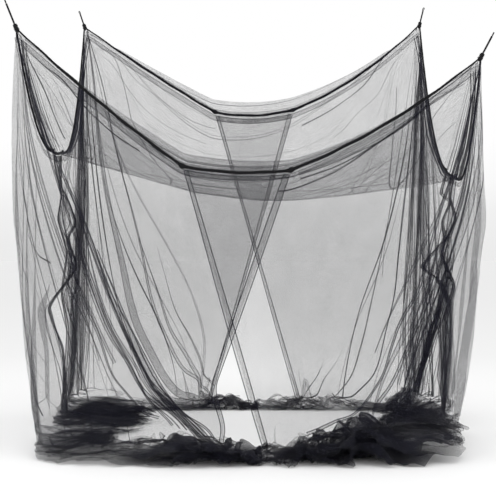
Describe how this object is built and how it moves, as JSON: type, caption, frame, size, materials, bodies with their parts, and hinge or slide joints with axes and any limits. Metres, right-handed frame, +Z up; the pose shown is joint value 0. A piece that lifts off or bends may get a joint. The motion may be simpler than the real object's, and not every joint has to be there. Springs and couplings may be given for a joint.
{
  "type": "mosquito net canopy",
  "caption": "Sheer four-corner net canopy for a bed, with a sagging roof, overlapping hemmed curtains that heap on the floor, binding tape and short hanging cords.",
  "frame": {"origin": "on the floor under the middle of the net, without its cords", "axes": "+Z up, +X to the net's right seen from its front, -Y towards the front"},
  "size_m": [1.9085, 1.6482, 2.0515],
  "materials": {
    "net": "sheer openwork net",
    "tape": "woven tape",
    "cord": "braided cord"
  },
  "bodies": {
    "root": {"binding_back": "tape", "binding_front": "tape", "binding_left": "tape", "binding_right": "tape", "cord_back_left": "cord", "cord_back_right": "cord", "cord_front_left": "cord", "cord_front_right": "cord", "curtain_back_left": "net", "curtain_back_right": "net", "curtain_front_left": "net", "curtain_front_right": "net", "knot_back_left": "cord", "knot_back_right": "cord", "knot_front_left": "cord", "knot_front_right": "cord", "loop_back_left": "cord", "loop_back_right": "cord", "loop_front_left": "cord", "loop_front_right": "cord", "roof": "net"}
  },
  "joints": []
}
